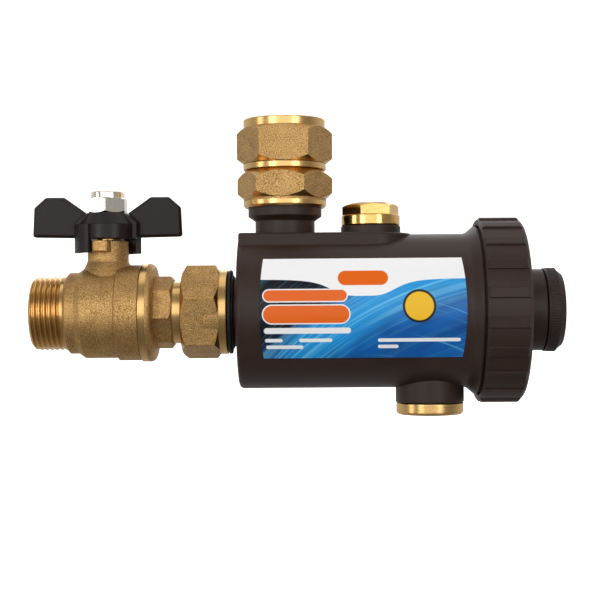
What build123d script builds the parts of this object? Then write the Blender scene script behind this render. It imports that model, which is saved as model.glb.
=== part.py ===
from build123d import *

import os
from math import cos, radians, sin, sqrt, tan

# Magnetic system filter: an inline canister with a magnet core, an inlet ball valve and unions.
#
# The main axis runs along +X from the inlet thread to the magnet knob, +Z is up towards the
# outlet union, and the label faces -Y. The origin is the middle of the inlet thread on the
# main axis. All lengths are in millimetres and all angles in degrees.

# ---- Driving dimensions -------------------------------------------------------------------

# G 3/4 pipe thread, used by both ends and by every union
THREAD_MAJOR_R = 13.22
THREAD_MINOR_R = 12.06
THREAD_PITCH = 1.814
THREAD_FLANK = 27.5

# Stations along the main axis
INLET_END_X = -6.0
INLET_SHOULDER_X = 6.0
STEM_X = 20.6
VALVE_JOINT_X = 33.1
UNION_NUT_X = 47.6
NECK_END_X = 58.5
CANISTER_X = 68.0
OUTLET_X = 84.6
VENT_X = 115.5
DRAIN_X = 136.4
FLARE_X = 149.1
RING_NUT_X = 153.4
RING_NUT_END_X = 169.0
HUB_END_X = 177.0
KNOB_X = 177.2
KNOB_END_X = 183.7

# Radii about the main axis
PORT_R = 7.6
INLET_BORE_R = 9.0
BARREL_R = 14.65
VALVE_BODY_R = 16.3
VALVE_RIM_R = 17.2
CANISTER_R = 27.6
CANISTER_BORE_R = 24.5
MOUTH_THREAD_R = 30.3
RING_NUT_R = 32.6
RIB_R = 33.3
HUB_R = 14.7
KNOB_R = 15.1

# Ball valve
BALL_R = 12.0
BALL_BORE_R = 7.5
SEAT_R = 11.5
NECK_R = 7.35
NECK_TOP_Z = 26.0
LUG_ANGLE = -7.5
LUG_WIDTH = 5.9
LUG_R = 11.0
LUG_BOTTOM_Z = 21.7
LUG_TOP_Z = 25.8
STEM_R = 4.5
STEM_TOP_Z = 43.0
HANDLE_BOTTOM_Z = 26.6
HANDLE_TOP_Z = 36.0
WING_THICKNESS = 3.8
WING_BEVEL = 0.9

# Union fittings
UNION_FLATS = 30.0
UNION_TUBE_R = 11.25
UNION_LIP_R = 11.4
UNION_BORE_R = 13.3
RETAINER_INNER_R = 10.25
RETAINER_OUTER_R = 11.95
RETAINER_WIDTH = 1.2
GASKET_INNER_R = 9.2

# Outlet, vent and drain
PAD_HALF_WIDTH = 14.7
PAD_TOP_Z = 27.75
OUTLET_NECK_TOP_Z = 43.4
VENT_BOSS_R = 10.75
VENT_BOSS_TOP_Z = 30.7
VENT_SEAT_R = 9.5
VENT_THREAD_R = 8.3
DRAIN_BOSS_R = 12.3
DRAIN_BOSS_BOTTOM_Z = -33.0
DRAIN_SEAT_R = 11.65
DRAIN_THREAD_R = 10.45
O_RING_SEAT_DEPTH = 1.6
VENT_SEAT_Z = VENT_BOSS_TOP_Z - O_RING_SEAT_DEPTH
DRAIN_SEAT_Z = DRAIN_BOSS_BOTTOM_Z + O_RING_SEAT_DEPTH

# Filter and magnet core
SCREEN_R = 20.0
SHEATH_R = 10.5
SHEATH_BORE_R = 9.2
MAGNET_R = 8.9
MAGNET_COUNT = 5
MAGNET_LENGTH = 12.0
POLE_LENGTH = 2.0
MAGNETS_X = 83.0
TIE_ROD_R = 2.0

RUNNING_GAP = 0.05
LABEL_SKIN = 0.2


# ---- Shared helpers -----------------------------------------------------------------------


def branch_plane(x):
    """Plane of a vertical branch at x: local x is the radius and local y the height."""
    return Plane(origin=(x, 0, 0), x_dir=(1, 0, 0), z_dir=(0, -1, 0))


def branch_axis(x):
    """Vertical axis of a branch at x."""
    return Axis((x, 0, 0), (0, 0, 1))


def outline(plane, corners):
    """Closed face through the corners; a corner's third number is its rounding radius."""
    with BuildSketch(plane) as face:
        with BuildLine():
            Polyline(*[corner[:2] for corner in corners], close=True)
        make_face()
        for corner in corners:
            if len(corner) == 3:
                fillet(face.vertices().sort_by_distance((corner[0], corner[1], 0))[0], corner[2])
    return face.sketch


def turned(corners):
    """Face to turn about the main axis, from (station, radius) corners."""
    return outline(Plane.XZ, corners)


def upright(x, corners):
    """Face to turn about the branch axis at x, from (radius, height) corners."""
    return outline(branch_plane(x), corners)


def from_front(angle):
    """Turns an angle measured from the front towards +X into one measured from +X."""
    return angle - 90


def thread_groove(start, direction, length, open_r, deep_r):
    """Helical V groove of a G 3/4 thread, open at open_r and deepest at deep_r."""
    depth = abs(open_r - deep_r)
    inward = 1 if deep_r > open_r else -1
    spare = 0.3
    root_flat = 0.12
    with BuildPart() as groove:
        with BuildLine() as helix:
            Helix(THREAD_PITCH, length, open_r, center=start, direction=direction)
        first = helix.line @ 0
        outward = (first - Vector(*start)).normalized()
        open_half = (depth + spare) * tan(radians(THREAD_FLANK)) + root_flat
        with BuildSketch(Plane(origin=first, x_dir=outward, z_dir=helix.line % 0)):
            with BuildLine():
                Polyline(
                    (inward * depth, root_flat),
                    (-inward * spare, open_half),
                    (-inward * spare, -open_half),
                    (inward * depth, -root_flat),
                    close=True,
                )
            make_face()
        sweep(path=helix.line, is_frenet=True)
    return groove.part


def hex_envelope(start, end, flats, edge_inset, face_r):
    """Corners of the cone-ended envelope that chamfers the corners of a hexagon."""
    corner_r = flats / sqrt(3)
    return [
        (start, 0),
        (start, face_r),
        (start + edge_inset, corner_r + 0.1),
        (end - edge_inset, corner_r + 0.1),
        (end, face_r),
        (end, 0),
    ]


def swap(corners):
    """Exchanges the two numbers of each corner."""
    return [(corner[1], corner[0], *corner[2:]) for corner in corners]


def save(builder, name):
    """Labels a finished piece and writes its STEP file."""
    builder.part.label = name
    export_step(builder.part, f"parts/{name}.step")


def retaining_ring(plane):
    """Split ring that holds a swivel nut on its tube, lying on the plane and rising from it."""
    gap = 3.0
    with BuildPart() as ring:
        with BuildSketch(plane):
            Circle(RETAINER_OUTER_R)
            Circle(RETAINER_INNER_R, mode=Mode.SUBTRACT)
            with Locations((0, RETAINER_OUTER_R)):
                Rectangle(gap, 2 * (RETAINER_OUTER_R - RETAINER_INNER_R) + 1, mode=Mode.SUBTRACT)
        extrude(amount=RETAINER_WIDTH)
    return ring.part


def o_ring(axis_plane, ring_r, section_r):
    """Rubber ring lying on the plane, given its centre-line radius and section radius."""
    with BuildPart(axis_plane) as ring:
        Torus(ring_r, section_r)
    return ring.part


os.makedirs("parts", exist_ok=True)


# ---- Ball valve ---------------------------------------------------------------------------

SEAT_START_X = 8.2
SEAT_WIDTH = 5.0
CAVITY_R = 12.4
SOCKET_R = 14.45
SOCKET_X = 28.3
STEM_FLANGE_R = 6.0
STEM_FLANGE_Z = 12.5
STEM_FLANGE_TOP_Z = 14.5
WASHER_TOP_Z = 15.15
STEM_BORE_R = STEM_R + RUNNING_GAP
SLOT_FLOOR_Z = 9.0
TONGUE_THICKNESS = 4.0
TONGUE_WIDTH = 10.0

with BuildPart() as stop_lugs:
    with BuildSketch(Plane((STEM_X, 0, LUG_BOTTOM_Z))):
        with PolarLocations(LUG_R / 2 + 2, 2, start_angle=from_front(LUG_ANGLE)):
            Rectangle(LUG_R - 4, LUG_WIDTH)
    extrude(amount=LUG_TOP_Z - LUG_BOTTOM_Z)
    outer_corners = stop_lugs.edges().filter_by(Axis.Z).filter_by(
        lambda edge: Vector(edge.center().X - STEM_X, edge.center().Y, 0).length > LUG_R - 1
    )
    fillet(outer_corners, 1.2)
    fillet(stop_lugs.faces().filter_by(Plane.XY).edges(), 0.5)

with BuildPart() as valve_body:
    revolve(
        turned(
            [
                (INLET_END_X, 0),
                (INLET_END_X, THREAD_MINOR_R),
                (INLET_END_X + 1.2, THREAD_MAJOR_R),
                (INLET_SHOULDER_X, THREAD_MAJOR_R),
                (INLET_SHOULDER_X + 1.2, BARREL_R, 0.3),
                (10.3, BARREL_R, 1.0),
                (12.6, VALVE_BODY_R, 1.0),
                (24.4, VALVE_BODY_R),
                (24.8, VALVE_RIM_R, 0.3),
                (VALVE_JOINT_X - 0.1, VALVE_RIM_R, 0.4),
                (VALVE_JOINT_X - 0.1, 0),
            ]
        ),
        axis=Axis.X,
    )
    revolve(
        upright(
            STEM_X,
            [
                (0, 12.8),
                (10.0, 12.8),
                (8.5, 16.2, 1.2),
                (NECK_R, 18.6, 2.2),
                (NECK_R, NECK_TOP_Z, 0.5),
                (0, NECK_TOP_Z),
            ],
        ),
        axis=branch_axis(STEM_X),
    )
    add(stop_lugs.part)
    revolve(
        turned(
            [
                (INLET_END_X, 0),
                (INLET_END_X, INLET_BORE_R + 0.5),
                (INLET_END_X + 0.5, INLET_BORE_R),
                (4.6, INLET_BORE_R),
                (5.6, PORT_R),
                (SEAT_START_X, PORT_R),
                (SEAT_START_X, SEAT_R + RUNNING_GAP),
                (11.5, SEAT_R + RUNNING_GAP),
                (11.5, CAVITY_R),
                (SOCKET_X, CAVITY_R),
                (SOCKET_X, SOCKET_R),
                (VALVE_JOINT_X, SOCKET_R),
                (VALVE_JOINT_X, 0),
            ]
        ),
        axis=Axis.X,
        mode=Mode.SUBTRACT,
    )
    revolve(
        upright(
            STEM_X,
            [
                (0, 10),
                (STEM_FLANGE_R + RUNNING_GAP, 10),
                (STEM_FLANGE_R + RUNNING_GAP, WASHER_TOP_Z + RUNNING_GAP),
                (STEM_BORE_R, WASHER_TOP_Z + RUNNING_GAP),
                (STEM_BORE_R, NECK_TOP_Z + 1),
                (0, NECK_TOP_Z + 1),
            ],
        ),
        axis=branch_axis(STEM_X),
        mode=Mode.SUBTRACT,
    )
    thread_length = INLET_SHOULDER_X - INLET_END_X
    add(
        thread_groove((INLET_END_X - 1, 0, 0), (1, 0, 0), thread_length, THREAD_MAJOR_R, THREAD_MINOR_R),
        mode=Mode.SUBTRACT,
    )
save(valve_body, "valve_body")

SPIGOT_END_X = 56.5
UNION_RETAINER_X = 51.1
OCTAGON_FLATS = 24.4
OCTAGON_X = 38.0
OCTAGON_END_X = 44.5
OCTAGON_CORNER = 8.6
OCTAGON_CORNER_R = 13.4

with BuildPart() as valve_end_piece:
    with BuildSketch(Plane.YZ.offset(OCTAGON_X - 1)) as octagon:
        RegularPolygon(OCTAGON_FLATS / 2, 8, major_radius=False, rotation=90 + OCTAGON_CORNER)
        fillet(octagon.vertices(), 0.5)
    extrude(amount=OCTAGON_END_X - OCTAGON_X + 1)
    revolve(
        turned(
            [
                (OCTAGON_X - 1, 0),
                (OCTAGON_X - 1, OCTAGON_CORNER_R),
                (OCTAGON_END_X - 1.2, OCTAGON_CORNER_R),
                (OCTAGON_END_X, OCTAGON_CORNER_R - 1.5),
                (OCTAGON_END_X, 0),
            ]
        ),
        axis=Axis.X,
        mode=Mode.INTERSECT,
    )
    revolve(
        turned(
            [
                (28.5, 0),
                (28.5, SOCKET_R - RUNNING_GAP),
                (VALVE_JOINT_X, SOCKET_R - RUNNING_GAP),
                (VALVE_JOINT_X, 17.7, 0.3),
                (OCTAGON_X, 17.7, 2.2),
                (OCTAGON_X, UNION_TUBE_R),
                (UNION_RETAINER_X, UNION_TUBE_R),
                (UNION_RETAINER_X, RETAINER_INNER_R),
                (UNION_RETAINER_X + RETAINER_WIDTH, RETAINER_INNER_R),
                (UNION_RETAINER_X + RETAINER_WIDTH, UNION_TUBE_R),
                (SPIGOT_END_X, UNION_TUBE_R, 0.3),
                (SPIGOT_END_X, 0),
            ]
        ),
        axis=Axis.X,
    )
    revolve(
        turned(
            [
                (28.5, 0),
                (28.5, SEAT_R + RUNNING_GAP),
                (33.0, SEAT_R + RUNNING_GAP),
                (33.0, PORT_R),
                (SPIGOT_END_X - 2, PORT_R),
                (SPIGOT_END_X, 9.0),
                (SPIGOT_END_X, 0),
            ]
        ),
        axis=Axis.X,
        mode=Mode.SUBTRACT,
    )
save(valve_end_piece, "valve_end_piece")

with BuildPart() as valve_ball:
    with Locations((STEM_X, 0, 0)):
        Sphere(BALL_R)
        Cylinder(BALL_BORE_R, 2 * BALL_R, rotation=(0, 90, 0), mode=Mode.SUBTRACT)
    with BuildSketch(Plane((STEM_X, 0, SLOT_FLOOR_Z))):
        Rectangle(TONGUE_THICKNESS + 0.2, 2 * BALL_R)
    extrude(amount=BALL_R, mode=Mode.SUBTRACT)
save(valve_ball, "valve_ball")

with BuildPart() as ball_seats:
    with BuildSketch(Plane.XZ):
        for seat_start in (SEAT_START_X, 2 * STEM_X - SEAT_START_X - SEAT_WIDTH):
            with Locations((seat_start, PORT_R)):
                Rectangle(SEAT_WIDTH, SEAT_R - PORT_R, align=Align.MIN)
        with Locations((STEM_X, 0)):
            Circle(BALL_R + RUNNING_GAP, mode=Mode.SUBTRACT)
    revolve(axis=Axis.X)
save(ball_seats, "ball_seats")

O_RING_ZS = (17.6, 21.0)
O_RING_SECTION_R = 0.45
GROOVE_R = STEM_BORE_R - 2 * O_RING_SECTION_R - 0.05
FLATS = 6.0
SHANK_R = 4.0
STEM_THREAD_R = 3.95
THREAD_START_Z = HANDLE_TOP_Z + 0.5

with BuildPart() as valve_stem:
    with BuildSketch(Plane((STEM_X, 0, SLOT_FLOOR_Z + 0.2))):
        Rectangle(TONGUE_THICKNESS, TONGUE_WIDTH)
    extrude(amount=STEM_FLANGE_Z - SLOT_FLOOR_Z)
    revolve(
        upright(
            STEM_X,
            [
                (0, STEM_FLANGE_Z),
                (STEM_FLANGE_R, STEM_FLANGE_Z),
                (STEM_FLANGE_R, STEM_FLANGE_TOP_Z),
                (STEM_R, STEM_FLANGE_TOP_Z),
                (STEM_R, HANDLE_BOTTOM_Z),
                (0, HANDLE_BOTTOM_Z),
            ],
        ),
        axis=branch_axis(STEM_X),
    )
    for ring_z in O_RING_ZS:
        revolve(
            upright(
                STEM_X,
                [(GROOVE_R, ring_z - 0.6), (5, ring_z - 0.6), (5, ring_z + 0.6), (GROOVE_R, ring_z + 0.6)],
            ),
            axis=branch_axis(STEM_X),
            mode=Mode.SUBTRACT,
        )
    with BuildSketch(Plane((STEM_X, 0, HANDLE_BOTTOM_Z))):
        Circle(SHANK_R)
        Rectangle(FLATS, 2 * SHANK_R, mode=Mode.INTERSECT)
    extrude(amount=THREAD_START_Z - HANDLE_BOTTOM_Z)
    revolve(
        upright(
            STEM_X,
            [
                (0, THREAD_START_Z - 0.5),
                (3.0, THREAD_START_Z - 0.5),
                (STEM_THREAD_R, THREAD_START_Z),
                (STEM_THREAD_R, STEM_TOP_Z - 0.7),
                (STEM_THREAD_R - 0.65, STEM_TOP_Z),
                (0, STEM_TOP_Z),
            ],
        ),
        axis=branch_axis(STEM_X),
    )
save(valve_stem, "valve_stem")

with BuildPart() as stem_o_rings:
    for ring_z in O_RING_ZS:
        add(o_ring(Plane((STEM_X, 0, ring_z)), GROOVE_R + O_RING_SECTION_R + 0.02, O_RING_SECTION_R))
save(stem_o_rings, "stem_o_rings")

with BuildPart() as stem_washer:
    with BuildSketch(Plane((STEM_X, 0, STEM_FLANGE_TOP_Z))):
        Circle(STEM_FLANGE_R)
        Circle(STEM_R + 0.02, mode=Mode.SUBTRACT)
    extrude(amount=WASHER_TOP_Z - STEM_FLANGE_TOP_Z)
save(stem_washer, "stem_washer")

HUB_TOP_R = 7.4
HUB_SIDE_R = 10.7
HUB_SHOULDER_Z = 31.7
SKIRT_R = 12.0
SKIRT_INNER_R = 9.85
SKIRT_BOTTOM_Z = 21.5
WINDOW_START = -27.5
WINDOW_END = 102.0
WING_SPAN = 26.9
WING_ROOT_Z = 27.1
WING_ROOT_THICKNESS = 10.0

with BuildPart() as wing_roots:
    with BuildSketch(Plane((STEM_X, 0, WING_ROOT_Z))):
        Rectangle(2 * SKIRT_R, WING_ROOT_THICKNESS)
    extrude(amount=HANDLE_TOP_Z - WING_ROOT_Z)
    revolve(
        upright(
            STEM_X,
            [
                (0, WING_ROOT_Z),
                (SKIRT_R, WING_ROOT_Z),
                (SKIRT_R, 32.4, 0.5),
                (8.8, 35.3, 0.5),
                (HUB_TOP_R, HANDLE_TOP_Z),
                (0, HANDLE_TOP_Z),
            ],
        ),
        axis=branch_axis(STEM_X),
        mode=Mode.INTERSECT,
    )

with BuildPart() as valve_handle:
    with BuildSketch(Plane((STEM_X, 0, SKIRT_BOTTOM_Z))):
        Circle(SKIRT_R)
        Circle(SKIRT_INNER_R, mode=Mode.SUBTRACT)
        for turn in (0, 180):
            start = radians(from_front(WINDOW_START + turn))
            end = radians(from_front(WINDOW_END + turn))
            reach = 3 * SKIRT_R
            rays = [(reach * cos(ray), reach * sin(ray)) for ray in (start, (start + end) / 2, end)]
            with BuildLine():
                Polyline((0, 0), *rays, close=True)
            make_face(mode=Mode.SUBTRACT)
    extrude(amount=HUB_SHOULDER_Z - SKIRT_BOTTOM_Z)
    leg_edges = valve_handle.edges().filter_by(Axis.Z).filter_by(
        lambda edge: (edge.center() - Vector(STEM_X, 0, edge.center().Z)).length > SKIRT_R - 0.5
    )
    fillet(leg_edges, 0.7)
    revolve(
        upright(
            STEM_X,
            [
                (0, HANDLE_BOTTOM_Z),
                (HUB_SIDE_R, HANDLE_BOTTOM_Z),
                (HUB_SIDE_R, HUB_SHOULDER_Z, 0.5),
                (HUB_TOP_R, HANDLE_TOP_Z, 0.4),
                (0, HANDLE_TOP_Z),
            ],
        ),
        axis=branch_axis(STEM_X),
    )
    add(wing_roots.part)
    wing_corners = [
        (5.0, 34.2),
        (6.9, 35.5),
        (15.6, 41.7, 1.2),
        (22.2, 41.7, 1.2),
        (26.4, 38.0, 1.2),
        (WING_SPAN, 27.4, 1.0),
        (11.8, WING_ROOT_Z),
        (5.0, WING_ROOT_Z),
    ]
    for side in (1, -1):
        with BuildPart(mode=Mode.PRIVATE) as wing:
            extrude(
                outline(branch_plane(STEM_X), [(side * corner[0], *corner[1:]) for corner in wing_corners]),
                amount=WING_THICKNESS / 2,
                both=True,
            )
            chamfer(wing.faces().filter_by(Plane.XZ).edges(), WING_BEVEL)
        add(wing.part)
    with BuildSketch(Plane((STEM_X, 0, HANDLE_BOTTOM_Z - 1))):
        Circle(SHANK_R + RUNNING_GAP)
        Rectangle(FLATS + 2 * RUNNING_GAP, 3 * SHANK_R, mode=Mode.INTERSECT)
    extrude(amount=HANDLE_TOP_Z - HANDLE_BOTTOM_Z + 2, mode=Mode.SUBTRACT)
save(valve_handle, "valve_handle")

NUT_FLATS = 13.0
NUT_BOTTOM_Z = HANDLE_TOP_Z
NUT_HEX_TOP_Z = 41.3
NUT_TOP_Z = 43.7
NUT_COLLAR_R = 6.06
INSERT_R = 5.2
INSERT_BOTTOM_Z = 41.4
INSERT_TOP_Z = 43.2

with BuildPart() as handle_nut:
    with BuildSketch(Plane((STEM_X, 0, NUT_BOTTOM_Z))) as hexagon:
        RegularPolygon(NUT_FLATS / 2, 6, major_radius=False, rotation=from_front(0))
        fillet(hexagon.vertices(), 0.3)
    extrude(amount=NUT_HEX_TOP_Z - NUT_BOTTOM_Z)
    revolve(
        upright(STEM_X, swap(hex_envelope(NUT_BOTTOM_Z, NUT_HEX_TOP_Z, NUT_FLATS, 0.7, 6.5))),
        axis=branch_axis(STEM_X),
        mode=Mode.INTERSECT,
    )
    revolve(
        upright(
            STEM_X,
            [
                (0, NUT_BOTTOM_Z + 1),
                (NUT_COLLAR_R, NUT_BOTTOM_Z + 1),
                (NUT_COLLAR_R, NUT_TOP_Z, 0.6),
                (0, NUT_TOP_Z),
            ],
        ),
        axis=branch_axis(STEM_X),
    )
    revolve(
        upright(
            STEM_X,
            [
                (0, NUT_BOTTOM_Z),
                (4.6, NUT_BOTTOM_Z),
                (4.0, NUT_BOTTOM_Z + 0.6),
                (4.0, INSERT_BOTTOM_Z),
                (INSERT_R, INSERT_BOTTOM_Z),
                (INSERT_R, INSERT_TOP_Z),
                (4.4, INSERT_TOP_Z),
                (4.4, NUT_TOP_Z),
                (0, NUT_TOP_Z),
            ],
        ),
        axis=branch_axis(STEM_X),
        mode=Mode.SUBTRACT,
    )
save(handle_nut, "handle_nut")

with BuildPart() as handle_nut_insert:
    with BuildSketch(Plane((STEM_X, 0, INSERT_BOTTOM_Z))):
        Circle(INSERT_R)
        Circle(4.0, mode=Mode.SUBTRACT)
    extrude(amount=INSERT_TOP_Z - INSERT_BOTTOM_Z)
save(handle_nut_insert, "handle_nut_insert")


# ---- Inlet union --------------------------------------------------------------------------

UNION_HEX_END_X = 61.5
UNION_END_X = 64.0
UNION_CORNER = 13.1
COLLAR_R = 15.2
LIP_WIDTH = 3.4

with BuildPart() as union_nut:
    with BuildSketch(Plane.YZ.offset(UNION_NUT_X)) as hexagon:
        RegularPolygon(UNION_FLATS / 2, 6, major_radius=False, rotation=90 + UNION_CORNER)
        fillet(hexagon.vertices(), 0.5)
    extrude(amount=UNION_HEX_END_X - UNION_NUT_X)
    revolve(
        turned(hex_envelope(UNION_NUT_X, UNION_HEX_END_X, UNION_FLATS, 1.9, 14.6)),
        axis=Axis.X,
        mode=Mode.INTERSECT,
    )
    revolve(turned([(55, 0), (55, COLLAR_R), (UNION_END_X, COLLAR_R, 0.4), (UNION_END_X, 0)]), axis=Axis.X)
    revolve(
        turned(
            [
                (UNION_NUT_X, 0),
                (UNION_NUT_X, UNION_LIP_R),
                (UNION_NUT_X + LIP_WIDTH, UNION_LIP_R),
                (UNION_NUT_X + LIP_WIDTH, UNION_BORE_R),
                (UNION_END_X - 0.7, UNION_BORE_R),
                (UNION_END_X, UNION_BORE_R + 0.7),
                (UNION_END_X, 0),
            ]
        ),
        axis=Axis.X,
        mode=Mode.SUBTRACT,
    )
save(union_nut, "union_nut")

with BuildPart() as union_retainer:
    add(retaining_ring(Plane.YZ.offset(UNION_RETAINER_X)))
save(union_retainer, "union_retainer")

with BuildPart() as union_gasket:
    with BuildSketch(Plane.YZ.offset(SPIGOT_END_X)):
        Circle(12.9)
        Circle(GASKET_INNER_R, mode=Mode.SUBTRACT)
    extrude(amount=NECK_END_X - SPIGOT_END_X)
save(union_gasket, "union_gasket")

BACKING_RING_X = 64.3

with BuildPart() as inlet_backing_ring:
    revolve(
        turned(
            [
                (BACKING_RING_X, 13.25),
                (BACKING_RING_X, 15.1, 0.4),
                (BACKING_RING_X + 1.2, 15.1, 0.4),
                (BACKING_RING_X + 1.2, 13.25),
            ]
        ),
        axis=Axis.X,
    )
save(inlet_backing_ring, "inlet_backing_ring")


# ---- Canister -----------------------------------------------------------------------------

INLET_NECK_THREAD_R = 13.2
INLET_NECK_R = 12.4
INLET_NECK_BORE_R = 8.5
END_WALL = 3.0
PAD_BOTTOM_Z = 20.0
PAD_INSET = 0.4
FLARE_END_X = 153.0
FLARE_R = 30.2
MOUTH_END_X = 163.5
MOUTH_NECK_R = 29.6
OUTLET_NECK_R = 10.7
OUTLET_BORE_R = 8.0

with BuildPart() as pad:
    with BuildSketch(Plane.XY.offset(PAD_BOTTOM_Z)):
        with Locations((CANISTER_X + PAD_INSET, 0)):
            Rectangle(VENT_X - CANISTER_X - PAD_INSET, 2 * PAD_HALF_WIDTH, align=(Align.MIN, Align.CENTER))
        with Locations((VENT_X, 0)):
            Circle(PAD_HALF_WIDTH)
    extrude(amount=PAD_TOP_Z - PAD_BOTTOM_Z)
    fillet(pad.faces().sort_by(Axis.Z)[-1].edges(), 0.9)

with BuildPart() as canister:
    revolve(
        turned(
            [
                (CANISTER_X, 0),
                (CANISTER_X, CANISTER_R, 1.6),
                (FLARE_X, CANISTER_R, 3.0),
                (152.2, FLARE_R, 0.5),
                (FLARE_END_X, FLARE_R, 0.3),
                (FLARE_END_X, MOUTH_NECK_R),
                (155.0, MOUTH_NECK_R),
                (155.6, MOUTH_THREAD_R),
                (MOUTH_END_X - 0.8, MOUTH_THREAD_R),
                (MOUTH_END_X, MOUTH_NECK_R),
                (MOUTH_END_X, 0),
            ]
        ),
        axis=Axis.X,
    )
    add(pad.part)
    revolve(
        upright(
            OUTLET_X,
            [
                (0, 20),
                (OUTLET_NECK_R, 20),
                (OUTLET_NECK_R, 32.5, 0.4),
                (INLET_NECK_THREAD_R, 34.2),
                (INLET_NECK_THREAD_R, OUTLET_NECK_TOP_Z - 1),
                (INLET_NECK_THREAD_R - 1, OUTLET_NECK_TOP_Z),
                (0, OUTLET_NECK_TOP_Z),
            ],
        ),
        axis=branch_axis(OUTLET_X),
    )
    revolve(
        upright(
            VENT_X,
            [(0, 20), (VENT_BOSS_R, 20), (VENT_BOSS_R, VENT_BOSS_TOP_Z, 0.6), (0, VENT_BOSS_TOP_Z)],
        ),
        axis=branch_axis(VENT_X),
    )
    revolve(
        upright(
            DRAIN_X,
            [
                (0, -20),
                (DRAIN_BOSS_R, -20),
                (DRAIN_BOSS_R, DRAIN_BOSS_BOTTOM_Z, 0.5),
                (0, DRAIN_BOSS_BOTTOM_Z),
            ],
        ),
        axis=branch_axis(DRAIN_X),
    )
    revolve(
        turned(
            [
                (NECK_END_X, 0),
                (NECK_END_X, INLET_NECK_THREAD_R - 0.8),
                (NECK_END_X + 0.8, INLET_NECK_THREAD_R),
                (66.0, INLET_NECK_THREAD_R),
                (66.5, INLET_NECK_R),
                (CANISTER_X + 1, INLET_NECK_R),
                (CANISTER_X + 1, 0),
            ]
        ),
        axis=Axis.X,
    )
    add(
        thread_groove((OUTLET_X, 0, 32.6), (0, 0, 1), 12.0, INLET_NECK_THREAD_R, THREAD_MINOR_R),
        mode=Mode.SUBTRACT,
    )
    revolve(
        turned(
            [
                (CANISTER_X + END_WALL, 0),
                (CANISTER_X + END_WALL, CANISTER_BORE_R, 2.0),
                (MOUTH_END_X, CANISTER_BORE_R),
                (MOUTH_END_X, 0),
            ]
        ),
        axis=Axis.X,
        mode=Mode.SUBTRACT,
    )
    revolve(
        turned([(NECK_END_X, 0), (NECK_END_X, INLET_NECK_BORE_R), (75, INLET_NECK_BORE_R), (75, 0)]),
        axis=Axis.X,
        mode=Mode.SUBTRACT,
    )
    revolve(
        upright(OUTLET_X, [(0, 20), (OUTLET_BORE_R, 20), (OUTLET_BORE_R, 45), (0, 45)]),
        axis=branch_axis(OUTLET_X),
        mode=Mode.SUBTRACT,
    )
    vent_bore_r = VENT_THREAD_R + RUNNING_GAP
    revolve(
        upright(
            VENT_X,
            [
                (0, 20),
                (vent_bore_r, 20),
                (vent_bore_r, VENT_SEAT_Z),
                (VENT_SEAT_R, VENT_SEAT_Z),
                (VENT_SEAT_R, VENT_BOSS_TOP_Z),
                (0, VENT_BOSS_TOP_Z),
            ],
        ),
        axis=branch_axis(VENT_X),
        mode=Mode.SUBTRACT,
    )
    drain_bore_r = DRAIN_THREAD_R + RUNNING_GAP
    revolve(
        upright(
            DRAIN_X,
            [
                (0, -20),
                (drain_bore_r, -20),
                (drain_bore_r, DRAIN_SEAT_Z),
                (DRAIN_SEAT_R, DRAIN_SEAT_Z),
                (DRAIN_SEAT_R, DRAIN_BOSS_BOTTOM_Z),
                (0, DRAIN_BOSS_BOTTOM_Z),
            ],
        ),
        axis=branch_axis(DRAIN_X),
        mode=Mode.SUBTRACT,
    )
save(canister, "canister")

LABEL_START_X = 77.5
LABEL_END_X = 145.7
LABEL_BOW = 1.3
LABEL_TOP_ANGLE = 40.9
LABEL_BOTTOM_ANGLE = -35.4

with BuildPart() as label:
    label_skin = turned(
        [
            (LABEL_START_X - 2 * LABEL_BOW, CANISTER_R + 0.02),
            (LABEL_START_X - 2 * LABEL_BOW, CANISTER_R + LABEL_SKIN),
            (LABEL_END_X + 2 * LABEL_BOW, CANISTER_R + LABEL_SKIN),
            (LABEL_END_X + 2 * LABEL_BOW, CANISTER_R + 0.02),
        ]
    )
    revolve(
        label_skin.rotate(Axis.X, 90 - LABEL_TOP_ANGLE),
        axis=Axis.X,
        revolution_arc=LABEL_TOP_ANGLE - LABEL_BOTTOM_ANGLE,
    )
    label_top_z = CANISTER_R * sin(radians(LABEL_TOP_ANGLE)) + 1
    label_bottom_z = CANISTER_R * sin(radians(LABEL_BOTTOM_ANGLE)) - 1
    label_middle_z = (label_top_z + label_bottom_z) / 2
    with BuildSketch(Plane.XZ):
        with BuildLine():
            Line((LABEL_START_X, label_bottom_z), (LABEL_END_X, label_bottom_z))
            ThreePointArc(
                (LABEL_END_X, label_bottom_z),
                (LABEL_END_X + LABEL_BOW, label_middle_z),
                (LABEL_END_X, label_top_z),
            )
            Line((LABEL_END_X, label_top_z), (LABEL_START_X, label_top_z))
            ThreePointArc(
                (LABEL_START_X, label_top_z),
                (LABEL_START_X - LABEL_BOW, label_middle_z),
                (LABEL_START_X, label_bottom_z),
            )
        make_face()
    extrude(amount=2 * CANISTER_R, mode=Mode.INTERSECT)
save(label, "label")


# ---- Outlet fitting -----------------------------------------------------------------------

LOWER_NUT_Z = 37.3
LOWER_HEX_Z = 39.6
LOWER_HEX_TOP_Z = 50.8
LOWER_LIP_Z = 47.5
LOWER_CORNER = 24.5
NIPPLE_BOTTOM_Z = 45.4
NIPPLE_TOP_Z = 58.6
MID_COLLAR_Z = 50.9
MID_COLLAR_TOP_Z = 53.1
MID_COLLAR_R = 14.9
LOWER_RETAINER_Z = 46.2
UPPER_RETAINER_Z = 56.6
UPPER_NUT_Z = 53.2
UPPER_HEX_TOP_Z = 66.0
UPPER_LIP_TOP_Z = 56.5
UPPER_THREAD_Z = 60.6
UPPER_NUT_TOP_Z = 69.0
UPPER_CORNER = 30.0

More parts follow.
